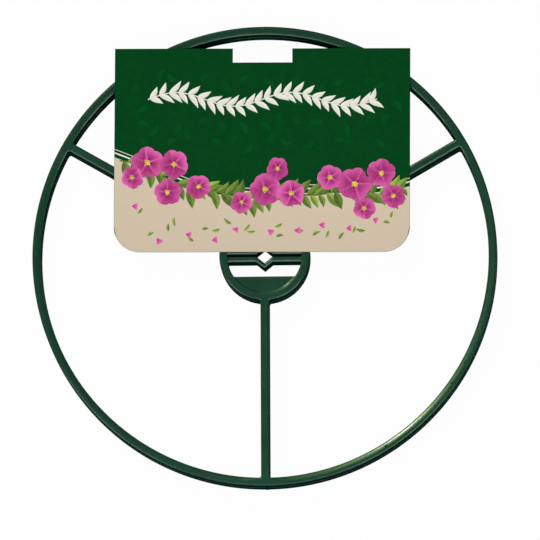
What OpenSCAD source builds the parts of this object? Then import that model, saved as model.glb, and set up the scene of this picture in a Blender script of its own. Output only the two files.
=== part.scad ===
// Two flat plant support rings stacked face to face, with a header card lying on them.
// Each ring is one moulding: a rim, three spokes, a hub and two sprung bars that grip a cane.
// Millimetres, +Z up along the cane. The origin is the ring's centre, on the lower ring's underside.

/* [Ring] */
// Outside diameter of the rim
ring_d = 300; // [200:5:420]
// Width of the rim's face, measured across the hoop
rim_w = 5.5; // [4:0.1:9]
// Depth of the moulding, from its upper face to its underside
ring_h = 10; // [6:0.5:12]
// Rounding of the moulded edges
edge_r = 0.8; // [0.3:0.1:1.2]

/* [Spokes] */
// Width of a spoke
spoke_w = 5.6; // [3.5:0.1:8]
// How far a spoke's upper face and underside lie below those of the rim
spoke_recess = 0.2; // [0.1:0.1:0.8]
// Fillet where a spoke runs into the rim and the hub
spoke_fillet = 2; // [1:0.1:4]

/* [Hub] */
// Outside diameter of the hub
hub_d = 58.5; // [50:0.5:80]
// Wall of the hub
hub_wall = 5.3; // [4:0.1:7]
// Distance from the centre to the straight edge of a web
web_chord = 13.6; // [12.5:0.1:16]
// Thickness of a web
web_t = 2.6; // [1.5:0.1:3.5]
// How far a web's upper face lies below the hub's
web_recess = 1.2; // [0.5:0.1:2]

/* [Cane grip] */
// Width of the diamond eye between the two bars, along the bars
eye_w = 12; // [9:0.5:15]
// Height of the diamond eye, across the bars
eye_h = 9.8; // [8:0.2:11]
// Slit between the two bars, beside the eye
slit_w = 1.2; // [0.8:0.1:2]
// Width of a bar's straight ends
bar_w = 3.8; // [2.5:0.1:4.5]
// Width of a bar's sloping arms, beside the eye
arm_w = 2.9; // [2:0.1:3.2]
// Depth of a bar
bar_h = 4.5; // [3:0.1:4.8]
// Bevel along a bar's edges
bar_bevel = 0.6; // [0.2:0.1:1]
// How far a bar's upper face lies below the hub's
bar_recess = 1; // [0.5:0.1:1.2]
// How far each bar gives when a cane is pushed in
grip_travel = 2; // [1:0.1:2.2]
// Clearance between a bar's ends and the hub, over its whole travel
grip_gap = 0.3; // [0.2:0.05:0.5]

/* [Header card] */
// Width of the card
card_w = 191.2; // [150:0.2:230]
// Height of the card
card_h = 133.4; // [100:0.2:160]
// Thickness of the card
card_t = 0.6; // [0.4:0.1:1]
// How far the card's middle lies beside the ring's
card_x = -1.8; // [-10:0.1:10]
// Distance from the ring's centre to the card's lower edge
card_y = 2; // [1.6:0.1:10]
// How far the card lies turned on the rings, in degrees
card_turn = -0.5; // [-3:0.1:3]
// Radius of the card's two lower corners
card_corner_r = 17; // [5:1:30]
// Width of the notch in the card's upper edge
notch_w = 38.5; // [20:0.5:60]
// Depth of the notch
notch_h = 9.2; // [5:0.1:15]

/* [Hidden] */
$fn = 96;

// Directions of the three spokes, counted from +X
right_angle = 30;
left_angle = 150;
front_angle = 270;

// Radii of the ring's round walls
rim_out = ring_d / 2;
rim_in = rim_out - rim_w;
hub_out = hub_d / 2;
hub_in = hub_out - hub_wall;
rim_mid = rim_out - rim_w / 2;
hub_mid = hub_out - hub_wall / 2;

// Depth of a spoke
spoke_h = ring_h - 2 * spoke_recess;

// Where the fillets beside a spoke have their centres, how far short of the wall they stop, and how
// far the flared roots lie below the spoke's faces
fillet_x = spoke_w / 2 + spoke_fillet;
fillet_trim = spoke_fillet / 5;
root_inset = 1.2 * edge_r;

// Half of the bars' outline: where the straight edges turn into the sloping arms
arm_slope = eye_h / eye_w;
arm_angle = atan(arm_slope);
bar_inner = slit_w / 2;
bar_outer = bar_inner + bar_w;
eye_tip = eye_h / 2;
arm_tip = eye_tip + arm_w / cos(arm_angle);
inner_turn = (eye_tip - bar_inner) / arm_slope;
outer_turn = (arm_tip - bar_outer) / arm_slope;

// Heights that the two rings and the card lie at
upper_z = ring_h;
card_z = 2 * ring_h;

// Colours of the mouldings and of the card
ring_colour = "#1d4031";
card_colour = "#03441b";

// Rectangle w by h with rounded corners, its lower left corner at the origin
module rounded_section(w, h, r) {
  translate([r, 0])
    square([w - 2 * r, h]);
  translate([0, r])
    square([w, h - 2 * r]);
  for (x = [r, w - r], y = [r, h - r])
    translate([x, y])
      circle(r);
}

// Round hoop with rounded edges, as deep as the moulding
module hoop(outer, wall) {
  rotate_extrude()
    translate([outer - wall, 0])
      rounded_section(wall, ring_h, edge_r);
}

// Flared root of a spoke along +Y, from root_y inside a round wall of radius wall_r to where its
// fillets end. The fillets' centres lie centre_r from the ring's centre.
module root_outline(wall_r, centre_r, root_y) {
  end_y = sqrt(pow(centre_r, 2) - pow(fillet_x, 2));
  root_x = fillet_x * wall_r / centre_r - fillet_trim;
  difference() {
    translate([-root_x, min(root_y, end_y)])
      square([2 * root_x, abs(root_y - end_y)]);
    for (side = [-1, 1])
      translate([side * fillet_x, end_y])
        circle(spoke_fillet);
  }
}

// Outline of a spoke along +Y with both its roots
module spoke_outline() {
  translate([-spoke_w / 2, hub_mid])
    square([spoke_w, rim_mid - hub_mid]);
  root_outline(hub_out, hub_out + spoke_fillet, hub_mid);
  root_outline(rim_in, rim_in - spoke_fillet, rim_mid);
}

// Spoke: a beam with rounded edges on a slightly thinner flared plate, cut to seat on the round
// walls of the hub and the rim
module spoke(angle) {
  rotate(angle - 90)
    translate([0, 0, spoke_recess])
      difference() {
        intersection() {
          union() {
            translate([-spoke_w / 2, rim_mid, 0])
              rotate([90, 0, 0])
                linear_extrude(rim_mid - hub_mid)
                  rounded_section(spoke_w, spoke_h, edge_r);
            translate([0, 0, root_inset])
              linear_extrude(spoke_h - 2 * root_inset)
                spoke_outline();
          }
          cylinder(h = spoke_h, r = rim_in);
        }
        cylinder(h = spoke_h, r = hub_out);
      }
}

// Web on the +Y side of the hub
module web() {
  translate([0, 0, ring_h - web_recess - web_t])
    linear_extrude(web_t)
      intersection() {
        circle(hub_in);
        translate([-hub_in, web_chord])
          square([2 * hub_in, hub_in]);
      }
}

// Layer of a bar between two stations, each station a pair of points on the bar's inner and outer
// edge. The layer is as thick as the bar where it is inset by the whole bevel.
module bar_layer(from, to, inset) {
  shift = [0, inset];
  translate([0, 0, bar_bevel - inset])
    linear_extrude(bar_h - 2 * (bar_bevel - inset))
      polygon([from[0] + shift, to[0] + shift, to[1] - shift, from[1] - shift]);
}

// Straight stretch of a bar between two stations, with bevelled edges
module bar_stretch(from, to) {
  hull() {
    bar_layer(from, to, 0);
    bar_layer(from, to, bar_bevel);
  }
}

// Bar on the +Y side of the eye, its ends cut to clear the hub at rest and at full travel
module grip() {
  end = [[hub_in, bar_inner], [hub_in, bar_outer]];
  turn = [[inner_turn, bar_inner], [outer_turn, bar_outer]];
  tip = [[0, eye_tip], [0, arm_tip]];
  translate([0, 0, ring_h - bar_recess - bar_h])
    intersection() {
      for (side = [0, 1])
        mirror([side, 0, 0]) {
          bar_stretch(end, turn);
          bar_stretch(turn, tip);
        }
      translate([0, -grip_travel, 0])
        cylinder(h = bar_h, r = hub_in - grip_gap);
    }
}

module on_front() {
  mirror([0, 1, 0])
    children();
}

module lower_ring() {
  color(ring_colour)
    children();
}

module upper_ring() {
  color(ring_colour)
    translate([0, 0, upper_z])
      children();
}

// Card on the upper ring, with its upper corners square and its lower corners round
module header_card() {
  half_w = card_w / 2;
  color(card_colour)
    rotate(card_turn)
      translate([card_x, card_y, card_z])
        linear_extrude(card_t)
          difference() {
            union() {
              translate([-half_w, card_corner_r])
                square([card_w, card_h - card_corner_r]);
              translate([-half_w + card_corner_r, 0])
                square([card_w - 2 * card_corner_r, card_corner_r]);
              for (side = [-1, 1])
                translate([side * (half_w - card_corner_r), card_corner_r])
                  circle(card_corner_r);
            }
            translate([-notch_w / 2, card_h - notch_h])
              square([notch_w, 2 * notch_h]);
          }
}

lower_ring() hoop(rim_out, rim_w);  // lower_rim
lower_ring() spoke(left_angle);  // lower_spoke_left
lower_ring() spoke(right_angle);  // lower_spoke_right
lower_ring() spoke(front_angle);  // lower_spoke_front
lower_ring() hoop(hub_out, hub_wall);  // lower_hub
lower_ring() on_front() web();  // lower_web_front
lower_ring() web();  // lower_web_rear
lower_ring() on_front() grip();  // lower_grip_front
lower_ring() grip();  // lower_grip_rear
upper_ring() hoop(rim_out, rim_w);  // upper_rim
upper_ring() spoke(left_angle);  // upper_spoke_left
upper_ring() spoke(right_angle);  // upper_spoke_right
upper_ring() spoke(front_angle);  // upper_spoke_front
upper_ring() hoop(hub_out, hub_wall);  // upper_hub
upper_ring() on_front() web();  // upper_web_front
upper_ring() web();  // upper_web_rear
upper_ring() on_front() grip();  // upper_grip_front
upper_ring() grip();  // upper_grip_rear
header_card();
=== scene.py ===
"""Two stacked plant support rings with a printed header card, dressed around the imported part."""
import math
import random

import bmesh
import bpy
from mathutils import Matrix, Vector


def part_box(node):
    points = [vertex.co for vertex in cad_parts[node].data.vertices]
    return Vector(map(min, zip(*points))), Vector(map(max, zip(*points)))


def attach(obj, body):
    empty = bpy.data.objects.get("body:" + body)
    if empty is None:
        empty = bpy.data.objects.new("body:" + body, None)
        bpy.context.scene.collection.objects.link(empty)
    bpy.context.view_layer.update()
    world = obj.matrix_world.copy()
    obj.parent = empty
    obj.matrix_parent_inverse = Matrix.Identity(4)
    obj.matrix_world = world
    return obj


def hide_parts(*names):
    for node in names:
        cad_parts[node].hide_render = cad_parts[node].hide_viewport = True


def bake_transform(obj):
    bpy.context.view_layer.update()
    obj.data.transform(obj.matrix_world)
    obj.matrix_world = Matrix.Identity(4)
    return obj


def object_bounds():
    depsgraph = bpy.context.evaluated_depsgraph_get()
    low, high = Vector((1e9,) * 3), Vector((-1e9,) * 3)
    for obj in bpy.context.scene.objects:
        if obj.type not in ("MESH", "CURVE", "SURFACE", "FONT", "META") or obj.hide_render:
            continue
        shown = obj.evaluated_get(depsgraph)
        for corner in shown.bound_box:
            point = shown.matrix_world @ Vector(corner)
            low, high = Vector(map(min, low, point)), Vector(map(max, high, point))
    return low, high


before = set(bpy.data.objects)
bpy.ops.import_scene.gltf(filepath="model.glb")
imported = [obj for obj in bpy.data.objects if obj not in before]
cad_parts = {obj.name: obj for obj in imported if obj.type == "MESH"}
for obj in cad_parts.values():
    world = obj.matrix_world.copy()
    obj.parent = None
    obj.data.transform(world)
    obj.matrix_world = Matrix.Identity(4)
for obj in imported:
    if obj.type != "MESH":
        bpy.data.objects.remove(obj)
cad_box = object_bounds()

MM = 0.001
QUARTER_TURN = math.pi / 2
FULL_TURN = 2 * math.pi
ORIGIN = Vector((0, 0))

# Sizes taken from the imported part, in metres
RIM_LOW, RIM_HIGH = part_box("upper_rim")
HUB_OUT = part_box("upper_hub")[1].x
WEB_LOW, WEB_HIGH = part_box("upper_web_front")
GRIP_LOW, GRIP_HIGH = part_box("upper_grip_front")
CARD_LOW, CARD_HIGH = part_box("header_card")
RIM_OUT = RIM_HIGH.x
RIM_IN = -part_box("upper_spoke_front")[0].y
HUB_IN = -WEB_LOW.y
RING_H = RIM_HIGH.z - RIM_LOW.z
FACE_Z = RIM_HIGH.z

# Sizes of the moulding that the boxes don't give
SPOKE_W = 5.6 * MM
SPOKE_FILLET = 1.3 * MM
SPOKE_ANGLES = [math.radians(angle) for angle in (30, 150, 270)]
UNDER_EDGE = 0.8 * MM
DRAFT = 0.08 * MM
PARTING_RIDGE = 0.06 * MM
PARTING_HALF = 0.15 * MM

# How the moulding's upper edges turn from the wall to the face, as (slope, radius in mm, steps) from
# each slope in degrees to the next: a crisp bevel outside, a broad shoulder inside the rim, a faint
# one in the hub
BEVEL = ((90, 0.45, 6), (32, 6.0, 3), (24, 0.12, 4))
SHOULDER = ((90, 0.45, 6), (27, 8.0, 3), (13, 8.0, 4))
HUB_SHOULDER = ((90, 0.5, 6), (8, 14.0, 3), (4, 14.0, 4))

# How far from the wall the level face begins
BEVEL_FLAT = 1.3 * MM
SHOULDER_FLAT = 4.1 * MM
HUB_FLAT = 3.3 * MM

# An edge's softness goes from 0, a bevel, to 1, a shoulder. Along the rim it comes in over a short arc.
SPOKE_SOFTNESS = 0.1
FADE_ARC = math.radians(4)

# Steps along the stretches of the moulding's outlines, and round the edge of its underside
RIM_STEPS = 288
HUB_STEPS = 120
SECTOR_RIM_STEPS = 88
SECTOR_HUB_STEPS = 36
FADE_STEPS = 8
FILLET_STEPS = 10
SPOKE_STEPS = 24
UNDER_STEPS = 6

# The webs: their rounded straight edge, the fillet at the hub's wall, how far they run into it, and the
# share of the straight edge that their columns span
WEB_NOSE = 0.5 * MM
NOSE_SWELL = 1.2
NOSE_STEPS = 12
WEB_FILLET = 0.4 * MM
WEB_FILLET_RISE = 0.8
WEB_SUNK = 0.4 * MM
WEB_SPAN = 0.999
WEB_COLUMNS = 40
WEB_ROWS = (0, 0.25, 0.5, 0.7, 0.82, 0.88, 0.92, 0.95, 0.97, 0.985, 1.0)

# The cane grip. A bar's edges are (inset, drop from its top) and (inset, rise from its underside), in mm.
# Its root flares where it meets the hub, less on its inner edge, and runs into the hub's wall.
BAR_W = 3.8 * MM
EYE_W = 12.0 * MM
EYE_H = 9.8 * MM
ARM_SLOPE = EYE_H / EYE_W
BAR_EDGE = ((0.0, 0.9), (0.04, 0.72), (0.16, 0.50), (0.34, 0.37), (1.2, 0.05), (1.3, 0.015), (1.4, 0.0))
BAR_UNDER = ((0.5, 0.0), (0.25, 0.07), (0.07, 0.25), (0.0, 0.5))
BAR_ROOT = 1.2 * MM
BAR_SUNK = 0.5 * MM
INNER_FLARE = 0.25
ARM_STEPS = 10
END_STEPS = 14
ROOT_STEPS = 6
BAR_SMOOTH_ANGLE = math.radians(30)

# How far down from a bar's top the glossy grip plastic reaches; lower down the bar has the walls' darker
# plastic, painted shade. The gloss reaches over the bevels too in the upper ring only; in the lower ring
# the bevels take the darker plastic as well, painted shade under the upper ring's bars
UNSHADED_DEPTH = {"upper": 0.42 * MM, "lower": 0.03 * MM}

# Marks of the ejector pins on the rim, the front spoke and the hub
PIN_R = 1.2 * MM
HUB_PIN_R = 1.0 * MM
PIN_HEIGHT = 0.04 * MM
PIN_SUNK = 1.5 * MM
PIN_STEPS = 28
RIM_PIN_INSET = 2.8 * MM
RIM_PIN_ANGLES = (1, 90, 179, 215.6, 301.8, 325, 331)
SPOKE_PIN_Y = -84.6 * MM

# The trimmed gate, as (height in mm, share of its full size) from its foot up
GATE_SECTION = ((0.9, 0.3), (1.3, 0.9), (2.0, 1.0), (6.2, 1.0), (6.9, 0.9), (7.3, 0.3))
GATE_X = 0.8 * MM
GATE_HALF_W = 1.2 * MM
GATE_PROUD = 0.22 * MM
GATE_STEPS = 12

# Linear colours and gloss of the plastic and the board, and the usual span of a noise
GREEN = (0.0027, 0.0358, 0.0262)
# The walls' plastic is this share of the face's green: painted shade, as the walls are the same plastic as
# the face
SHADE_PAINTED_ON_WALLS = 0.48
GLOSS_TINT = (0.50, 1.0, 0.28, 1.0)
COAT_ROUGHNESS = 0.19
CARD_GREEN = (0.0006, 0.057, 0.0108)
CORE_GREY = (0.62, 0.58, 0.50)
BOARD_GLOSS = 0.03
NOISE_SPAN = (0.3, 0.7)


def mix(a, b, share):
    return a + (b - a) * share


def polar(radius, angle):
    return Vector((math.cos(angle), math.sin(angle))) * radius


def scaled(colour, factor):
    return tuple(channel * factor for channel in colour)


# Materials
def new_material(name):
    """A node material with its shader, and the object coordinates that its textures follow."""
    material = bpy.data.materials.new(name)
    material.use_nodes = True
    tree = material.node_tree
    shader = tree.nodes["Principled BSDF"]
    place = tree.nodes.new("ShaderNodeTexCoord").outputs["Object"]
    return material, tree, shader, place


def add_noise(tree, place, scale, detail, roughness=0.55):
    """Noise over the surface, with scale in features to the metre."""
    node = tree.nodes.new("ShaderNodeTexNoise")
    node.inputs["Scale"].default_value = scale
    node.inputs["Detail"].default_value = detail
    node.inputs["Roughness"].default_value = roughness
    tree.links.new(place, node.inputs["Vector"])
    return node.outputs["Fac"]


def add_ramp(tree, source, stops):
    """Colours for a value from 0 to 1; each stop is (value, linear colour)."""
    ramp = tree.nodes.new("ShaderNodeValToRGB")
    elements = ramp.color_ramp.elements
    while len(elements) < len(stops):
        elements.new(0.5)
    for element, (value, colour) in zip(elements, stops):
        element.position = value
        element.color = (*colour, 1.0)
    tree.links.new(source, ramp.inputs["Fac"])
    return ramp.outputs["Color"]


def add_range(tree, source, low, high):
    """A noise stretched to run from low to high."""
    node = tree.nodes.new("ShaderNodeMapRange")
    node.inputs["From Min"].default_value = NOISE_SPAN[0]
    node.inputs["From Max"].default_value = NOISE_SPAN[1]
    node.inputs["To Min"].default_value = low
    node.inputs["To Max"].default_value = high
    tree.links.new(source, node.inputs["Value"])
    return node.outputs["Result"]


def add_bump(tree, shader, height, strength, distance, before=None):
    """Bumps on the shader's surface, on top of those made before."""
    node = tree.nodes.new("ShaderNodeBump")
    node.inputs["Strength"].default_value = strength
    node.inputs["Distance"].default_value = distance
    tree.links.new(height, node.inputs["Height"])
    if before is not None:
        tree.links.new(before, node.inputs["Normal"])
    tree.links.new(node.outputs["Normal"], shader.inputs["Normal"])
    return node.outputs["Normal"]


def moulded_plastic(name, colour, specular, roughness, polish):
    """Dyed polypropylene: faint cloudy colour and a satin skin with uneven gloss, fine grain and slow
    ripples, under a clear polished skin."""
    material, tree, shader, place = new_material(name)
    cloud = add_noise(tree, place, scale=45.0, detail=5.0)
    stops = [(0.3, scaled(colour, 0.82)), (0.52, colour), (0.75, scaled(colour, 1.2))]
    tree.links.new(add_ramp(tree, cloud, stops), shader.inputs["Base Color"])
    patches = add_noise(tree, place, scale=160.0, detail=6.0, roughness=0.6)
    gloss = add_range(tree, patches, roughness - 0.03, roughness + 0.05)
    tree.links.new(gloss, shader.inputs["Roughness"])
    shader.inputs["Specular IOR Level"].default_value = specular
    shader.inputs["Specular Tint"].default_value = GLOSS_TINT
    ripple = add_noise(tree, place, scale=110.0, detail=2.0)
    grain = add_noise(tree, place, scale=1400.0, detail=3.0)
    rippled = add_bump(tree, shader, ripple, strength=0.2, distance=0.1 * MM)
    add_bump(tree, shader, grain, strength=0.04, distance=0.02 * MM, before=rippled)
    shader.inputs["Coat Weight"].default_value = polish
    shader.inputs["Coat Roughness"].default_value = COAT_ROUGHNESS
    tree.links.new(rippled, shader.inputs["Coat Normal"])
    return material


def coated_board(name, colour, roughness):
    """Printed and varnished board: mottled ink, faint fibres and a soft gloss."""
    material, tree, shader, place = new_material(name)
    mottle = add_noise(tree, place, scale=260.0, detail=6.0, roughness=0.65)
    stops = [(0.32, scaled(colour, 0.88)), (0.55, colour), (0.78, scaled(colour, 1.1))]
    tree.links.new(add_ramp(tree, mottle, stops), shader.inputs["Base Color"])
    sheen = add_noise(tree, place, scale=35.0, detail=3.0)
    gloss = add_range(tree, sheen, roughness - 0.05, roughness + 0.06)
    tree.links.new(gloss, shader.inputs["Roughness"])
    shader.inputs["Specular IOR Level"].default_value = BOARD_GLOSS
    fibres = add_noise(tree, place, scale=900.0, detail=4.0)
    add_bump(tree, shader, fibres, strength=0.15, distance=0.02 * MM)
    return material


def printed_ink(name, dark, light):
    """Ink between two tones, chosen by each shape's own tone and broken up by a fine mottle."""
    material, tree, shader, place = new_material(name)
    tone = tree.nodes.new("ShaderNodeAttribute")
    tone.attribute_name = "tone"
    mottle = add_noise(tree, place, scale=420.0, detail=5.0, roughness=0.6)
    mottle_share = 0.35
    total = tree.nodes.new("ShaderNodeMath")
    total.operation = "MULTIPLY_ADD"
    total.inputs[1].default_value = mottle_share
    tree.links.new(mottle, total.inputs[0])
    tree.links.new(tone.outputs["Fac"], total.inputs[2])
    stops = [(0.12, dark), (1.0, light)]
    tree.links.new(add_ramp(tree, total.outputs["Value"], stops), shader.inputs["Base Color"])
    sheen = add_noise(tree, place, scale=60.0, detail=3.0)
    tree.links.new(add_range(tree, sheen, 0.34, 0.46), shader.inputs["Roughness"])
    shader.inputs["Specular IOR Level"].default_value = BOARD_GLOSS
    return material


FACE_PLASTIC = moulded_plastic("ring_face", GREEN, specular=0.5, roughness=0.36, polish=0.6)
GRIP_PLASTIC = moulded_plastic("ring_grip", GREEN, specular=0.5, roughness=0.3, polish=1.0)
# The walls' plastic: the face's green darkened and without gloss, painted shade on the moulding's walls
SHADED_SIDE_PLASTIC = moulded_plastic(
    "ring_side_painted_shade", scaled(GREEN, SHADE_PAINTED_ON_WALLS), specular=0.0, roughness=0.6, polish=0.0)
GROUND_INK = coated_board("card_ground", CARD_GREEN, roughness=0.42)
BOARD_CORE = coated_board("card_core", CORE_GREY, roughness=0.8)
SHADE_INK = printed_ink("ink_shade", scaled(CARD_GREEN, 1.05), scaled(CARD_GREEN, 1.5))
BEIGE_INK = printed_ink("ink_beige", (0.58, 0.47, 0.36), (0.68, 0.56, 0.43))
CREAM_INK = printed_ink("ink_cream", (0.70, 0.68, 0.58), (0.86, 0.84, 0.76))
PINK_INK = printed_ink("ink_pink", (0.28, 0.003, 0.11), (0.86, 0.16, 0.50))
LEAF_INK = printed_ink("ink_leaf", (0.008, 0.045, 0.012), (0.34, 0.48, 0.08))
GOLD_INK = printed_ink("ink_gold", (0.45, 0.20, 0.02), (0.85, 0.62, 0.12))


# Mesh helpers
def mesh_piece(name, bm, materials, smooth_angle=math.radians(40)):
    """Finishes a mesh as a piece: outward normals, and smooth shading that breaks at sharp corners."""
    bmesh.ops.recalc_face_normals(bm, faces=bm.faces)
    for face in bm.faces:
        face.smooth = True
    for edge in bm.edges:
        edge.smooth = len(edge.link_faces) == 2 and edge.calc_face_angle() < smooth_angle
    mesh = bpy.data.meshes.new(name)
    bm.to_mesh(mesh)
    bm.free()
    for material in materials:
        mesh.materials.append(material)
    piece = bpy.data.objects.new(name, mesh)
    bpy.context.scene.collection.objects.link(piece)
    return piece


def join_loops(bm, loops, material_of=lambda row: 0):
    """Quads between neighbouring loops of the same length. material_of gives each row's material."""
    for row, (first, second) in enumerate(zip(loops, loops[1:])):
        count = len(first)
        for i in range(count):
            j = (i + 1) % count
            face = bm.faces.new((first[i], first[j], second[j], second[i]))
            face.material_index = material_of(row)


def close_tube(bm, loops, material_of=lambda row: 0, cap_materials=(0, 0)):
    """A closed skin through all the loops, with a cap on the first and the last."""
    join_loops(bm, loops, material_of)
    for loop, material in zip((loops[0], loops[-1]), cap_materials):
        bm.faces.new(loop).material_index = material


def loop_edges(bm, loop):
    return [bm.edges.get((a, b)) for a, b in zip(loop, loop[1:] + loop[:1])]


# Rim, spokes and hub
def arc(centre, radius, start, end, count, into, soft_start, soft_end):
    """Samples along an arc without its last point. into is 1 where the plastic lies outside the arc and
    -1 where it lies inside. A sample is a point, the direction into the plastic and the softness."""
    samples = []
    for i in range(count):
        share = i / count
        direction = polar(1, mix(start, end, share))
        softness = mix(soft_start, soft_end, share)
        samples.append((centre + direction * radius, direction * into, softness))
    return samples


def side(start, end, into, count, soft_start, soft_end):
    """Samples along a straight side without its last point."""
    samples = []
    for i in range(count):
        share = i / count
        samples.append((start.lerp(end, share), into, mix(soft_start, soft_end, share)))
    return samples


def sector_outline(first, second):
    """Edge of the open sector between the spokes at two angles, anticlockwise, with its four fillets."""
    fillet = SPOKE_FILLET
    soft = SPOKE_SOFTNESS
    beside = SPOKE_W / 2 + fillet
    rim_turn = math.asin(beside / (RIM_IN - fillet))
    hub_turn = math.asin(beside / (HUB_OUT + fillet))
    rim_start = first + rim_turn
    rim_end = second - rim_turn
    hub_start = second - hub_turn
    hub_end = first + hub_turn
    first_rim = polar(RIM_IN - fillet, rim_start)
    second_rim = polar(RIM_IN - fillet, rim_end)
    second_hub = polar(HUB_OUT + fillet, hub_start)
    first_hub = polar(HUB_OUT + fillet, hub_end)
    first_in = polar(1, first - QUARTER_TURN)
    second_in = polar(1, second + QUARTER_TURN)
    first_step = first_in * fillet
    second_step = second_in * fillet
    samples = arc(first_rim, fillet, first - QUARTER_TURN, rim_start, FILLET_STEPS, 1, soft, 0)
    samples += arc(ORIGIN, RIM_IN, rim_start, rim_start + FADE_ARC, FADE_STEPS, 1, 0, 1)
    samples += arc(ORIGIN, RIM_IN, rim_start + FADE_ARC, rim_end - FADE_ARC, SECTOR_RIM_STEPS, 1, 1, 1)
    samples += arc(ORIGIN, RIM_IN, rim_end - FADE_ARC, rim_end, FADE_STEPS, 1, 1, 0)
    samples += arc(second_rim, fillet, rim_end, second + QUARTER_TURN, FILLET_STEPS, 1, 0, soft)
    samples += side(second_rim + second_step, second_hub + second_step, second_in, SPOKE_STEPS, soft, 0)
    samples += arc(second_hub, fillet, second + QUARTER_TURN, hub_start + math.pi, FILLET_STEPS, 1, 0, 0)
    samples += arc(ORIGIN, HUB_OUT, hub_start, hub_end, SECTOR_HUB_STEPS, -1, 0, 0)
    samples += arc(first_hub, fillet, hub_end + math.pi, first + 3 * QUARTER_TURN, FILLET_STEPS, 1, 0, 0)
    samples += side(first_hub + first_step, first_rim + first_step, first_in, SPOKE_STEPS, 0, soft)
    return samples


def upper_edge(turns):
    """The upper edge from the wall to the face, as (inset, drop) pairs."""
    ends = [slope for slope, _, _ in turns[1:]] + [0]
    points = [(DRAFT, 0.0)]
    for (start, radius, steps), end in zip(turns, ends):
        slopes = [math.radians(mix(start, end, i / steps)) for i in range(steps + 1)]
        for before, after in zip(slopes, slopes[1:]):
            inset, rise = points[-1]
            inset += radius * MM * (math.sin(before) - math.sin(after))
            rise += radius * MM * (math.cos(after) - math.cos(before))
            points.append((inset, rise))
    top = points[-1][1]
    return [(inset, top - rise) for inset, rise in points]


def edge_section(turns, flat):
    """The moulding's section from its underside to its face, as (inset, height) pairs. flat is where the
    level face begins."""
    under = []
    for step in range(UNDER_STEPS + 1):
        angle = QUARTER_TURN * (1 - step / UNDER_STEPS)
        under.append((DRAFT + UNDER_EDGE * (1 - math.cos(angle)), UNDER_EDGE * (1 - math.sin(angle))))
    middle = RING_H / 2
    parting = [(0.0, middle - PARTING_HALF), (-PARTING_RIDGE, middle), (0.0, middle + PARTING_HALF)]
    face = [(inset, RING_H - drop) for inset, drop in upper_edge(turns)]
    return [(flat, 0.0)] + under + parting + face + [(flat, RING_H)]


BEVEL_SECTION = edge_section(BEVEL, BEVEL_FLAT)
SHOULDER_SECTION = edge_section(SHOULDER, SHOULDER_FLAT)
HUB_SECTION = edge_section(HUB_SHOULDER, HUB_FLAT)

# Rows of a section that take the walls' darker plastic, painted shade: all up to the first steps of the
# upper edge
SHADED_SECTION_ROWS = UNDER_STEPS + 7


def moulding_outlines():
    """The moulding's outlines, each with the section of its softest stretches."""
    outlines = [
        (arc(ORIGIN, RIM_OUT, 0, FULL_TURN, RIM_STEPS, -1, 0, 0), BEVEL_SECTION),
        (arc(ORIGIN, HUB_IN, 0, FULL_TURN, HUB_STEPS, 1, 1, 1), HUB_SECTION),
    ]
    following = SPOKE_ANGLES[1:] + [SPOKE_ANGLES[0] + FULL_TURN]
    for first, second in zip(SPOKE_ANGLES, following):
        outlines.append((sector_outline(first, second), SHOULDER_SECTION))
    return outlines


def make_moulding(name, low_z):
    """Rim, spokes and hub as one moulding, with rounded edges, filleted roots and a fine parting line."""
    bm = bmesh.new()
    under_edges = []
    face_edges = []
    for outline, soft_section in moulding_outlines():
        loops = []
        for (hard_in, hard_z), (soft_in, soft_z) in zip(BEVEL_SECTION, soft_section):
            loop = []
            for point, into, softness in outline:
                flat = point + into * mix(hard_in, soft_in, softness)
                loop.append(bm.verts.new((flat.x, flat.y, low_z + mix(hard_z, soft_z, softness))))
            loops.append(loop)
        # The rows up to the upper edge take the darker plastic: painted shade on the walls
        join_loops(bm, loops, lambda row: int(row < SHADED_SECTION_ROWS))
        under_edges += loop_edges(bm, loops[0])
        face_edges += loop_edges(bm, loops[-1])
    for edges in (under_edges, face_edges):
        bmesh.ops.triangle_fill(bm, edges=edges, use_beauty=True, normal=(0, 0, 1))
    return mesh_piece(name, bm, [FACE_PLASTIC, SHADED_SIDE_PLASTIC])


# Webs and bars in the hub
def web_column(x, bottom, top):
    """A web's section at x, as points: its underside, its rounded straight edge and its face."""
    nose_end = -WEB_HIGH.y + WEB_NOSE
    far = math.sqrt((HUB_IN + WEB_SUNK) ** 2 - x ** 2)
    column = [(x, far, bottom), (x, nose_end, bottom)]
    for step in range(1, NOSE_STEPS):
        angle = math.pi * step / NOSE_STEPS
        swing = min(1.0, math.sin(angle) * NOSE_SWELL)
        column.append((x, nose_end - WEB_NOSE * swing, mix(bottom, top, (1 - math.cos(angle)) / 2)))
    for share in WEB_ROWS:
        y = mix(nose_end, far, share)
        climb = math.hypot(x, y) - (HUB_IN - WEB_FILLET)
        climb = min(max(0.0, climb), WEB_FILLET)
        rise = WEB_FILLET - math.sqrt(WEB_FILLET ** 2 - climb ** 2)
        column.append((x, y, top + rise * WEB_FILLET_RISE))
    return column


def make_web(name, low_z, sign_y):
    """D-shaped plate in the hub, with a rounded straight edge and a hollow fillet up to the hub's wall."""
    bm = bmesh.new()
    bottom = low_z + WEB_LOW.z - RIM_LOW.z
    top = low_z + WEB_HIGH.z - RIM_LOW.z
    half = math.sqrt(HUB_IN ** 2 - WEB_HIGH.y ** 2) * WEB_SPAN
    columns = []
    for i in range(WEB_COLUMNS + 1):
        column = web_column(half * math.sin(math.pi * (i / WEB_COLUMNS - 0.5)), bottom, top)
        columns.append([bm.verts.new((x, sign_y * y, z)) for x, y, z in column])
    close_tube(bm, columns)
    return mesh_piece(name, bm, [FACE_PLASTIC])


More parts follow.
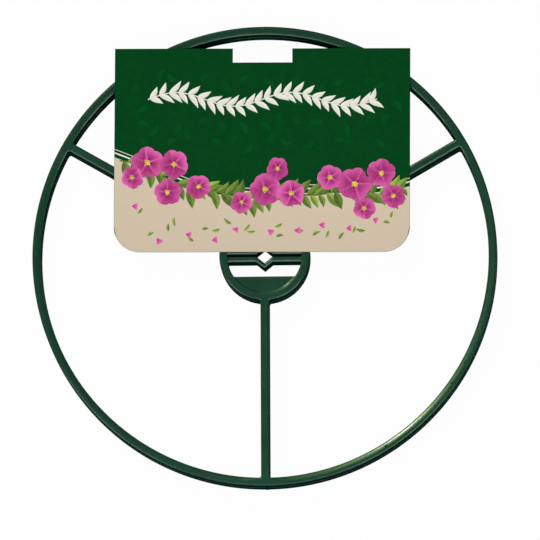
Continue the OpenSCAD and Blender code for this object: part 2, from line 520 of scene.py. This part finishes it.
def bar_edges(x):
    """Inner and outer edge of a bar, as distances from the slit's middle, at a distance x from the
    eye's middle."""
    inner = -GRIP_HIGH.y
    tip = -GRIP_LOW.y
    root = max(0.0, x - (HUB_IN - BAR_ROOT)) / BAR_ROOT
    flare = BAR_ROOT * (1 - math.sqrt(1 - min(root, 1.0) ** 2))
    near = max(inner - flare * INNER_FLARE, EYE_H / 2 - ARM_SLOPE * x)
    far = max(inner + BAR_W + flare, tip - ARM_SLOPE * x)
    return near, far


def bar_stations():
    """Distances from the eye's middle, out to the hub's wall, at which a half bar has a section."""
    turn = (EYE_H / 2 + GRIP_HIGH.y) / ARM_SLOPE
    root = HUB_IN - BAR_ROOT
    stations = [turn * i / ARM_STEPS for i in range(ARM_STEPS)]
    stations += [mix(turn, root, i / END_STEPS) for i in range(END_STEPS + 1)]
    for i in range(1, ROOT_STEPS + 1):
        stations.append(root + BAR_ROOT * math.sin(QUARTER_TURN * i / ROOT_STEPS))
    return stations + [HUB_IN + BAR_SUNK]


def bar_section(x, bottom, top):
    """A bar's section at a distance x from the eye's middle, as (y, z) pairs."""
    near, far = bar_edges(x)
    section = [(far - inset * MM, top - drop * MM) for inset, drop in BAR_EDGE]
    section += [(near + inset * MM, top - drop * MM) for inset, drop in reversed(BAR_EDGE)]
    section += [(near + inset * MM, bottom + rise * MM) for inset, rise in reversed(BAR_UNDER)]
    section += [(far - inset * MM, bottom + rise * MM) for inset, rise in BAR_UNDER]
    return section


def make_half_bar(name, low_z, sign_x, sign_y, unshaded_depth):
    """One half of a sprung bar, from the hub's wall to the middle of its V, with rounded edges."""
    bm = bmesh.new()
    bottom = low_z + GRIP_LOW.z - RIM_LOW.z
    top = low_z + GRIP_HIGH.z - RIM_LOW.z
    loops = []
    for x in bar_stations():
        section = bar_section(x, bottom, top)
        loops.append([bm.verts.new((sign_x * x, sign_y * y, z)) for y, z in section])
    close_tube(bm, loops)
    # Faces lower than this depth below the top take the walls' darker plastic: painted shade, over the
    # bevels as well in the lower ring
    for face in bm.faces:
        face.material_index = int(face.calc_center_median().z < top - unshaded_depth)
    return mesh_piece(name, bm, [GRIP_PLASTIC, SHADED_SIDE_PLASTIC], BAR_SMOOTH_ANGLE)


# Marks that moulding leaves
def make_pin_mark(bm, x, y, z, radius):
    """A flat round mark with a rounded edge, its foot sunk in the moulding."""
    section = ((1.0, -PIN_SUNK), (1.0, PIN_HEIGHT * 0.3), (0.97, PIN_HEIGHT * 0.8), (0.9, PIN_HEIGHT))
    loops = []
    for share, rise in section:
        loop = []
        for i in range(PIN_STEPS):
            spot = polar(radius * share, FULL_TURN * i / PIN_STEPS)
            loop.append(bm.verts.new((x + spot.x, y + spot.y, z + rise)))
        loops.append(loop)
    close_tube(bm, loops)


def make_gate(bm, low_z):
    """The trimmed gate where the plastic ran in: a low upright rib outside the rim, under the front
    spoke."""
    loops = []
    for height, share in GATE_SECTION:
        loop = []
        for i in range(GATE_STEPS):
            angle = FULL_TURN * i / GATE_STEPS
            x = GATE_X + GATE_HALF_W * share * math.cos(angle)
            y = -RIM_OUT - GATE_PROUD * share * math.sin(angle)
            loop.append(bm.verts.new((x, y, low_z + height * MM)))
        loops.append(loop)
    # The gate takes the walls' darker plastic all over: painted shade, like the wall it stands on
    close_tube(bm, loops, lambda row: 1, cap_materials=(1, 1))


def make_marks(name, low_z):
    """Marks that the ejector pins left on the rim, the front spoke and the hub, and the trimmed gate."""
    bm = bmesh.new()
    face_z = low_z + RING_H
    for angle in RIM_PIN_ANGLES:
        spot = polar(RIM_IN + RIM_PIN_INSET, math.radians(angle))
        make_pin_mark(bm, spot.x, spot.y, face_z, PIN_R)
    make_pin_mark(bm, 0, SPOKE_PIN_Y, face_z, PIN_R)
    make_pin_mark(bm, 0, -(HUB_OUT + HUB_IN) / 2, face_z, HUB_PIN_R)
    make_gate(bm, low_z)
    return mesh_piece(name, bm, [FACE_PLASTIC, SHADED_SIDE_PLASTIC])


def dress_grip(ring, part, sign_y, low_z):
    """The web and the two half bars on one side of a ring's eye."""
    body = ring + "_ring"
    web = make_web(f"{ring}_web_{part}_plate", low_z, sign_y)
    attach(web, body)
    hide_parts(f"{ring}_web_{part}")
    for half, sign_x in (("left", -1), ("right", 1)):
        bar = make_half_bar(f"{ring}_bar_{part}_{half}", low_z, sign_x, sign_y, UNSHADED_DEPTH[ring])
        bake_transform(bar)
        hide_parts(f"{ring}_grip_{part}")


def dress_ring(ring):
    """All the pieces of one ring, upper or lower."""
    low_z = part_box(ring + "_rim")[0].z
    body = ring + "_ring"
    moulding = make_moulding(ring + "_moulding", low_z)
    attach(moulding, body)
    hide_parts(*(f"{ring}_{part}" for part in (
        "rim", "spoke_left", "spoke_right", "spoke_front", "hub")))
    for part, sign_y in (("front", -1), ("rear", 1)):
        dress_grip(ring, part, sign_y, low_z)
    marks = make_marks(ring + "_mould_marks", low_z)
    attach(marks, body)


# The header card, in its own frame: x from its middle, y from its lower edge
CARD_W = 191.2 * MM
CARD_H = 133.4 * MM
CARD_CORNER = 17.0 * MM
CORNER_STEPS = 16
NOTCH_W = 38.5 * MM
NOTCH_H = 9.2 * MM
CARD_ROLLED = 0.08 * MM
CARD_CLEARANCE = 0.02 * MM
CARD_TURN = math.radians(-0.5)
CARD_SHIFT = (-1.8 * MM, 2.0 * MM, 0)
CARD_PLACE = Matrix.Rotation(CARD_TURN, 4, "Z") @ Matrix.Translation(CARD_SHIFT)


def card_outline():
    """The card's outline, anticlockwise from its lower left corner."""
    right = CARD_W / 2
    notch_right = NOTCH_W / 2
    notch_y = CARD_H - NOTCH_H
    points = []
    for centre_x, start in ((CARD_CORNER - right, math.pi), (right - CARD_CORNER, 3 * QUARTER_TURN)):
        for step in range(CORNER_STEPS + 1):
            angle = start + QUARTER_TURN * step / CORNER_STEPS
            y = CARD_CORNER * (1 + math.sin(angle))
            points.append((centre_x + CARD_CORNER * math.cos(angle), y))
    points += [(right, CARD_H), (notch_right, CARD_H), (notch_right, notch_y)]
    points += [(-notch_right, notch_y), (-notch_right, CARD_H), (-right, CARD_H)]
    return [Vector(point) for point in points]


def inward_steps(outline):
    """The step into the outline at each of its points, for an inset of one."""
    steps = []
    for i, point in enumerate(outline):
        before = (point - outline[i - 1]).normalized()
        after = (outline[(i + 1) % len(outline)] - point).normalized()
        normal = Vector((-before.y - after.y, before.x + after.x))
        steps.append(normal / max(0.5, normal.length_squared / 2))
    return steps


def make_card():
    """Board with a printed face and a pale core along its cut edge."""
    bm = bmesh.new()
    low = CARD_LOW.z + CARD_CLEARANCE
    high = CARD_HIGH.z
    outline = card_outline()
    inward = inward_steps(outline)
    core_rows = 2
    section = ((CARD_ROLLED, low), (0, low + CARD_ROLLED), (0, high - CARD_ROLLED), (CARD_ROLLED, high))
    loops = []
    for inset, z in section:
        spots = [point + step * inset for point, step in zip(outline, inward)]
        loops.append([bm.verts.new((spot.x, spot.y, z)) for spot in spots])
    close_tube(bm, loops, lambda row: int(row < core_rows), cap_materials=(1, 0))
    bm.transform(CARD_PLACE)
    card = mesh_piece("header_board", bm, [GROUND_INK, BOARD_CORE])
    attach(card, "header_card")
    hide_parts("header_card")


# The card's print: thin patches of ink laid on the board, each layer a little above the one below.
# Lengths of the print are millimetres.
INK_STEP = 0.01 * MM
INK_SUNK = 0.05 * MM
PRINT_SEED = 7
PRINT_MARGIN = 0.15
PLAIN_TONE = 0.5
SCATTER_LAYER = 1
BAND_LAYER = 3
LEAF_LAYER = 4
FLOWER_LAYER = 13
LAYERS_PER_FLOWER = 7

# Upper edge of the pale band along the card's foot: a shallow bowl with slow ripples
WAVE_FOOT = 36
WAVE_RISE = 24
WAVE_MIDDLE = 22
WAVE_REACH = 118
RIPPLE_HEIGHT = 2.5
RIPPLE_LENGTH = 19

# The branch under the notch, which waves from side to side
BRANCH_Y = 100
BRANCH_HALF = 74.0
BRANCH_SWING = 4.5
BRANCH_WAVE = 11.8

# The vine along the wave, how far out its leaves may reach, and its flowers, as (x, height above the
# wave, radius)
VINE_HALF = 92.0
VINE_SWING = 1.6
VINE_WAVE = 7
VINE_REACH = 94.0
FLOWERS = (
    (-74, 5, 10.5), (-57, 11, 9.0), (-61, -9, 8.5), (-41, 2, 8.0), (-84, -9, 7.0),
    (2, 4, 10.0), (19, 0, 8.5), (-13, -4, 7.0), (10, 17, 7.0),
    (60, 6, 10.5), (77, 12, 9.0), (44, 10, 8.0), (85, -4, 7.5), (66, -10, 7.0),
)

# Layers of a flower's five petals, its streaks and its heart, counted from the flower's lowest
PETAL_LAYERS = (0, 1, 0, 1, 2)
STREAK_LAYER = 3
HEART_LAYER = 4

# A petal's form: its notch and the points of its foot, as shares of its length and width
NOTCH_DEPTH = 0.10
NOTCH_SPREAD = 0.16
PETAL_NECK = 0.30
PETAL_FOOT = 0.12
PETAL_MIDDLE = 0.22

# The faint leaves on the dark ground, and how far these and the loose petals stray from their rows
SCATTER_ROWS = 5
SCATTER_COLUMNS = 14
SCATTER_START = (-88, 72)
SCATTER_PITCH = (13.4, 13.0)
SCATTER_EDGE = (86, 122)
SCATTER_NOTCH = (30, 112)
JITTER = 1.5


class Ink:
    """All the shapes printed in one ink, gathered in one mesh, with x from the card's middle and y from
    its lower edge. A tone from 0 to 1 goes with each point."""

    def __init__(self, name, material):
        self.name = name
        self.material = material
        self.bm = bmesh.new()
        self.tone = self.bm.verts.layers.float.new("tone")

    def point(self, x, y, z, tone):
        vert = self.bm.verts.new((x * MM, y * MM, z))
        vert[self.tone] = tone
        return vert

    def strip(self, first, second, layer, first_tone, second_tone):
        """A patch between two lines with equally many points."""
        top = CARD_HIGH.z + INK_STEP * layer
        low = CARD_HIGH.z - INK_SUNK
        rows = []
        for line, z, tone in ((first, low, first_tone), (first, top, first_tone),
                              (second, top, second_tone), (second, low, second_tone)):
            rows.append([self.point(x, y, z, tone) for x, y in line])
        close_tube(self.bm, [list(column) for column in zip(*rows)])

    def fan(self, outline, middle, layer, middle_tone, edge_tone):
        """A patch whose outline can be seen whole from its middle point."""
        top = CARD_HIGH.z + INK_STEP * layer
        low = CARD_HIGH.z - INK_SUNK
        upper = [self.point(x, y, top, edge_tone) for x, y in outline]
        lower = [self.point(x, y, low, edge_tone) for x, y in outline]
        join_loops(self.bm, [lower, upper])
        for ring, z in ((upper, top), (lower, low)):
            hub = self.point(*middle, z, middle_tone)
            for i, vert in enumerate(ring):
                self.bm.faces.new((hub, vert, ring[(i + 1) % len(ring)]))

    def finish(self):
        self.bm.transform(CARD_PLACE)
        piece = mesh_piece(self.name, self.bm, [self.material])
        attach(piece, "header_card")


def placed(points, x, y, angle):
    """Points of a shape, turned by an angle and moved to x, y."""
    cos = math.cos(angle)
    sin = math.sin(angle)
    return [(x + px * cos - py * sin, y + px * sin + py * cos) for px, py in points]


def raised(line, rise):
    return [(x, y + rise) for x, y in line]


def wave_height(x):
    bowl = WAVE_RISE * ((x - WAVE_MIDDLE) / WAVE_REACH) ** 2
    return WAVE_FOOT + bowl + RIPPLE_HEIGHT * math.sin(x / RIPPLE_LENGTH)


def wave_slope(x):
    return math.atan2(wave_height(x + 0.5) - wave_height(x - 0.5), 1.0)


def draw_band(beige, cream):
    """A pale band with a wavy upper edge that runs out to the card's rounded corners, and two fine lines
    above it."""
    half = CARD_W / 2 / MM - PRINT_MARGIN
    corner = CARD_CORNER / MM - PRINT_MARGIN
    steps = 120
    foot = []
    crest = []
    for i in range(steps + 1):
        x = mix(-half, half, i / steps)
        into = max(0.0, abs(x) - (half - corner))
        foot.append((x, PRINT_MARGIN + corner - math.sqrt(max(0.0, corner ** 2 - into ** 2))))
        crest.append((x, wave_height(x)))
    beige.strip(foot, crest, BAND_LAYER, first_tone=0.35, second_tone=0.75)
    for gap, width in ((2.4, 1.0), (5.0, 0.45)):
        cream.strip(raised(crest, gap), raised(crest, gap + width), BAND_LAYER, PLAIN_TONE, PLAIN_TONE)


def draw_leaf(ink, x, y, angle, length, width, bend, layer, light, dark):
    """A pointed leaf in two tones, one each side of its curved midrib."""
    steps = 12
    tip_half_w = 0.06
    midrib = []
    edges = {1: [], -1: []}
    for i in range(steps + 1):
        share = i / steps
        rise = bend * length * math.sin(math.pi * share) * 0.5
        swell = width / 2 * math.sin(math.pi * share ** 0.8) + tip_half_w
        midrib.append((length * share, rise))
        for hand in edges:
            edges[hand].append((length * share, rise + hand * swell))
    for hand, tone in ((1, light), (-1, dark)):
        lines = [placed(line, x, y, angle) for line in (midrib, edges[hand])]
        ink.strip(*lines, layer, tone * 0.8, tone)


def petal_outline(length, width):
    """A broad petal along x from its foot, with a shallow notch in its tip."""
    steps = 18
    outline = []
    for i in range(steps + 1):
        turn = math.pi * (i / steps - 0.5)
        notch = NOTCH_DEPTH * math.exp(-(turn / NOTCH_SPREAD) ** 2)
        reach = 0.5 + 0.5 * math.cos(turn) ** 0.7 - notch
        spread = 0.85 * math.sin(turn) * (0.35 + 0.65 * math.cos(turn) ** 0.4)
        outline.append((length * reach, width * spread))
    neck = (length * PETAL_NECK, width * PETAL_NECK)
    foot = width * PETAL_FOOT
    return [(neck[0], -neck[1])] + outline[1:-1] + [neck, (0.0, foot), (0.0, -foot)]


def draw_petal(ink, x, y, angle, length, width, layer, base, tip):
    """A petal, darker towards its foot."""
    outline = placed(petal_outline(length, width), x, y, angle)
    middle = placed([(length * PETAL_MIDDLE, 0)], x, y, angle)[0]
    ink.fan(outline, middle, layer, base, tip)


def draw_dot(ink, x, y, radius, layer, edge_tone):
    """A round dot, light in its middle."""
    steps = 10
    outline = []
    for i in range(steps):
        outline += placed([(radius, 0)], x, y, FULL_TURN * i / steps)
    ink.fan(outline, (x, y), layer, middle_tone=0.9, edge_tone=edge_tone)


def draw_heart(gold, x, y, radius, layer, rng):
    """The heart of a flower: a large dot with small ones around it."""
    around = 8
    draw_dot(gold, x, y, radius * 0.13, layer, rng.uniform(0.1, 0.6))
    for index in range(1, around + 1):
        spread = radius * rng.uniform(0.10, 0.2)
        dot_x, dot_y = placed([(spread, 0)], x, y, index * FULL_TURN / around)[0]
        draw_dot(gold, dot_x, dot_y, radius * 0.06, layer + 1 + index % 2, rng.uniform(0.1, 0.6))


def draw_blossom(pink, gold, x, y, radius, layer, rng):
    """An open flower with five petals, streaked, around its heart."""
    start = rng.uniform(0, FULL_TURN)
    for index, petal_layer in enumerate(PETAL_LAYERS):
        angle = start + index * FULL_TURN / len(PETAL_LAYERS) + rng.uniform(-0.08, 0.08)
        length = radius * rng.uniform(0.92, 1.06)
        tip = rng.uniform(0.3, 0.8)
        draw_petal(pink, x, y, angle, length, width=radius * 0.98, layer=layer + petal_layer,
                   base=0.0, tip=tip)
        for lean in (-0.22, 0.0, 0.22):
            streak = length * rng.uniform(0.55, 0.72)
            draw_leaf(pink, x, y, angle + lean, streak, width=radius * 0.07, bend=0,
                      layer=layer + STREAK_LAYER, light=0.1, dark=0.2)
    draw_heart(gold, x, y, radius, layer + HEART_LAYER, rng)


def draw_garland(leaf, pink, gold, rng):
    """A vine along the wave, with leaves on both sides and three groups of flowers."""
    steps = 140
    half_w = 0.5
    points = [mix(-VINE_HALF, VINE_HALF, i / steps) for i in range(steps + 1)]
    vine = [(x, wave_height(x) + VINE_SWING * math.sin(x / VINE_WAVE)) for x in points]
    leaf.strip(raised(vine, -half_w), raised(vine, half_w), LEAF_LAYER, first_tone=0.05, second_tone=0.3)
    for index, (x, y) in enumerate(vine[2:-2:2]):
        hand = 1 if index % 2 else -1
        angle = wave_slope(x) + hand * rng.uniform(0.5, 1.25)
        length = min(rng.uniform(8.0, 14.0), (VINE_REACH - x) / max(0.1, math.cos(angle)))
        tone = rng.uniform(0.3, 0.9)
        bend = hand * rng.uniform(-0.3, 0.1)
        layer = LEAF_LAYER + 1 + index % 7
        draw_leaf(leaf, x, y, angle, length, width=length * 0.42, bend=bend, layer=layer,
                  light=tone, dark=tone * 0.45)
    for index, (x, rise, radius) in enumerate(FLOWERS):
        layer = FLOWER_LAYER + LAYERS_PER_FLOWER * (index % 5)
        draw_blossom(pink, gold, x, wave_height(x) + rise, radius, layer, rng)


def draw_branch(cream, rng):
    """A slender pale branch with a pair of leaves at every few steps."""
    steps = 120
    half_w = 0.4
    points = [mix(-BRANCH_HALF, BRANCH_HALF, i / steps) for i in range(steps + 1)]
    stem = [(x, BRANCH_Y + BRANCH_SWING * math.sin(x / BRANCH_WAVE)) for x in points]
    cream.strip(raised(stem, -half_w), raised(stem, half_w), BAND_LAYER, PLAIN_TONE, PLAIN_TONE)
    for index, (x, y) in enumerate(stem[1::5]):
        slope = math.atan(BRANCH_SWING / BRANCH_WAVE * math.cos(x / BRANCH_WAVE))
        for hand in (-1, 1):
            angle = slope + hand * rng.uniform(0.62, 0.85)
            length = rng.uniform(9.0, 11.5)
            layer = LEAF_LAYER + (2 * index + (hand + 1) // 2) % 8
            draw_leaf(cream, x, y, angle, length, width=3.3, bend=-0.15 * hand, layer=layer,
                      light=0.9, dark=0.45)


def draw_petals(pink, leaf, rng):
    """Loose petals and small leaves, blown over the pale band."""
    count = 30
    first_x = -84
    pitch = 5.8
    lowest = 7.0
    below_wave = 17.0
    for index in range(count):
        x = first_x + index * pitch + rng.uniform(-JITTER, JITTER)
        y = rng.uniform(lowest, wave_height(x) - below_wave)
        angle = rng.uniform(0, FULL_TURN)
        if index % 3:
            tone = rng.uniform(0.5, 0.95)
            length = rng.uniform(4.0, 6.5)
            draw_leaf(leaf, x, y, angle, length, width=2.0, bend=0.2, layer=LEAF_LAYER,
                      light=tone, dark=tone * 0.5)
        else:
            length = rng.uniform(3.4, 4.6)
            draw_petal(pink, x, y, angle, length, width=3.6, layer=LEAF_LAYER + 1, base=0.2, tip=0.8)


def draw_scatter(shade, rng):
    """Faint leaves scattered over the dark ground."""
    for row in range(SCATTER_ROWS):
        for column in range(SCATTER_COLUMNS):
            along = column + (row % 2) / 2
            x = SCATTER_START[0] + along * SCATTER_PITCH[0] + rng.uniform(-JITTER, JITTER)
            y = SCATTER_START[1] + row * SCATTER_PITCH[1] + rng.uniform(-JITTER, JITTER)
            under_notch = abs(x) < SCATTER_NOTCH[0] and y > SCATTER_NOTCH[1]
            if abs(x) > SCATTER_EDGE[0] or y > SCATTER_EDGE[1] or under_notch:
                continue
            tone = rng.uniform(0.2, 0.9)
            angle = rng.uniform(0, FULL_TURN)
            length = rng.uniform(7, 10)
            layer = SCATTER_LAYER + column % 2
            draw_leaf(shade, x, y, angle, length, width=3.4, bend=0.2, layer=layer,
                      light=tone, dark=tone * 0.4)


def print_card():
    """A made-up leafy design in the card's colours."""
    rng = random.Random(PRINT_SEED)
    inks = {}
    for name, material in (("shade", SHADE_INK), ("beige", BEIGE_INK), ("cream", CREAM_INK),
                           ("leaf", LEAF_INK), ("pink", PINK_INK), ("gold", GOLD_INK)):
        inks[name] = Ink("print_" + name, material)
    draw_scatter(inks["shade"], rng)
    draw_band(inks["beige"], inks["cream"])
    draw_branch(inks["cream"], rng)
    draw_petals(inks["pink"], inks["leaf"], rng)
    draw_garland(inks["leaf"], inks["pink"], inks["gold"], rng)
    for ink in inks.values():
        ink.finish()


dress_ring("lower")
dress_ring("upper")
make_card()
print_card()


# Floor and world
FLOOR_HALF = 4.0
FLOOR_GAP = 0.2 * MM
FLOOR_GREY = 0.75
FLOOR_GLOW = 0.97
WORLD_GREY = 0.08


def grey(level):
    return (level, level, level, 1)


def camera_rays(tree):
    """1 for the rays that come straight from the camera."""
    return tree.nodes.new("ShaderNodeLightPath").outputs["Is Camera Ray"]


def floor_paint():
    """Pale paint that glows white to the camera, but for the share that keeps the shadow."""
    material = bpy.data.materials.new("pale_floor")
    material.use_nodes = True
    tree = material.node_tree
    tree.nodes.clear()
    paint = tree.nodes.new("ShaderNodeBsdfDiffuse")
    paint.inputs["Color"].default_value = grey(FLOOR_GREY)
    glow = tree.nodes.new("ShaderNodeEmission")
    shares = tree.nodes.new("ShaderNodeMath")
    shares.operation = "MULTIPLY"
    shares.inputs[1].default_value = FLOOR_GLOW
    tree.links.new(camera_rays(tree), shares.inputs[0])
    both = tree.nodes.new("ShaderNodeMixShader")
    tree.links.new(shares.outputs["Value"], both.inputs["Fac"])
    tree.links.new(paint.outputs["BSDF"], both.inputs[1])
    tree.links.new(glow.outputs["Emission"], both.inputs[2])
    out = tree.nodes.new("ShaderNodeOutputMaterial")
    tree.links.new(both.outputs["Shader"], out.inputs["Surface"])
    return material


def make_floor():
    """A pale floor that shows white and keeps a faint shadow."""
    bm = bmesh.new()
    bmesh.ops.create_grid(bm, x_segments=1, y_segments=1, size=FLOOR_HALF)
    mesh = bpy.data.meshes.new("floor")
    bm.to_mesh(mesh)
    bm.free()
    floor = bpy.data.objects.new("floor", mesh)
    floor.location.z = cad_box[0][2] - FLOOR_GAP
    bpy.context.scene.collection.objects.link(floor)
    mesh.materials.append(floor_paint())


def make_world():
    """White behind the object, and a dim even light on it."""
    world = bpy.data.worlds.new("studio")
    world.use_nodes = True
    tree = world.node_tree
    tree.nodes.clear()
    dim = tree.nodes.new("ShaderNodeBackground")
    dim.inputs["Color"].default_value = grey(WORLD_GREY)
    white = tree.nodes.new("ShaderNodeBackground")
    white.inputs["Color"].default_value = grey(1)
    both = tree.nodes.new("ShaderNodeMixShader")
    tree.links.new(camera_rays(tree), both.inputs["Fac"])
    tree.links.new(dim.outputs["Background"], both.inputs[1])
    tree.links.new(white.outputs["Background"], both.inputs[2])
    out = tree.nodes.new("ShaderNodeOutputWorld")
    tree.links.new(both.outputs["Shader"], out.inputs["Surface"])
    bpy.context.scene.world = world


# Light panels, as name, direction from the origin, distance, width and height in metres, watts, colour,
# and whether they show in gloss
WHITE_LIGHT = (1.0, 1.0, 1.0)
WARM_LIGHT = (0.98, 1.0, 0.78)
COOL_LIGHT = (1.0, 1.0, 1.1)
BLUE_LIGHT = (0.9, 1.0, 1.25)
PANELS = (
    ("window", (-0.375, 0.595, 0.71), 4.0, 0.3, 0.6, 64.0, WARM_LIGHT, True),
    ("window_top", (-0.25, 0.448, 0.858), 4.0, 0.25, 0.9, 7.5, WARM_LIGHT, True),
    ("low_left", (-0.6, -0.5, 0.62), 4.0, 2.1, 0.7, 16.0, BLUE_LIGHT, True),
    ("low_front", (-0.04, -0.729, 0.683), 4.0, 2.1, 0.7, 6.5, BLUE_LIGHT, True),
    ("low_right", (0.481, -0.558, 0.677), 4.0, 2.1, 0.7, 18.0, WHITE_LIGHT, True),
    ("near_front", (-0.04, -0.514, 0.859), 0.6, 0.3, 0.06, 0.36, WHITE_LIGHT, True),
    ("near_left", (-0.545, -0.251, 0.8), 0.6, 0.12, 0.08, 0.15, WHITE_LIGHT, True),
    ("near_right", (0.477, -0.26, 0.84), 0.6, 0.12, 0.08, 0.22, WHITE_LIGHT, True),
    ("fill", (0.1, -0.3, 1.0), 1.6, 1.2, 1.2, 8.1, COOL_LIGHT, False),
)


def add_panel(name, direction, distance, width, height, power, colour, in_gloss):
    """A soft light panel that faces the origin."""
    lamp = bpy.data.lights.new(name, "AREA")
    lamp.shape = "RECTANGLE"
    lamp.size = width
    lamp.size_y = height
    lamp.energy = power
    lamp.color = colour
    panel = bpy.data.objects.new(name, lamp)
    towards = Vector(direction).normalized()
    panel.location = towards * distance
    panel.rotation_euler = towards.to_track_quat("Z", "Y").to_euler()
    panel.visible_camera = False
    panel.visible_glossy = in_gloss
    bpy.context.scene.collection.objects.link(panel)


# The photograph's frame, in pixels, and where the middle of the ring's face lies in it
IMAGE_SIZE = 540
RING_PIXEL = (264.4, 255.2)
PIXEL = 0.6447 * MM
TOWARDS_CAMERA = Vector((0.04, -0.16, 1.0)).normalized()
CAMERA_ROLL = math.radians(0.23)
CAMERA_DISTANCE = 6.0
SENSOR_WIDTH = 36.0


def make_camera():
    """A long lens far off, a little towards the front, framed as in the photograph."""
    camera = bpy.data.cameras.new("camera")
    camera.sensor_width = SENSOR_WIDTH
    camera.lens = SENSOR_WIDTH * CAMERA_DISTANCE / (PIXEL * IMAGE_SIZE)
    eye = bpy.data.objects.new("camera", camera)
    level = Vector((0, 1, 0)).cross(TOWARDS_CAMERA).normalized()
    right = Matrix.Rotation(-CAMERA_ROLL, 3, TOWARDS_CAMERA) @ level
    up = TOWARDS_CAMERA.cross(right)
    middle = IMAGE_SIZE / 2
    aim = Vector((0, 0, FACE_Z)) + right * (middle - RING_PIXEL[0]) * PIXEL
    aim += up * (RING_PIXEL[1] - middle) * PIXEL
    eye.rotation_euler = Matrix((right, up, TOWARDS_CAMERA)).transposed().to_euler()
    eye.location = aim + TOWARDS_CAMERA * CAMERA_DISTANCE
    bpy.context.scene.collection.objects.link(eye)
    bpy.context.scene.camera = eye


make_floor()
make_world()
for panel_row in PANELS:
    add_panel(*panel_row)
make_camera()

bpy.context.scene.view_settings.view_transform = "Standard"
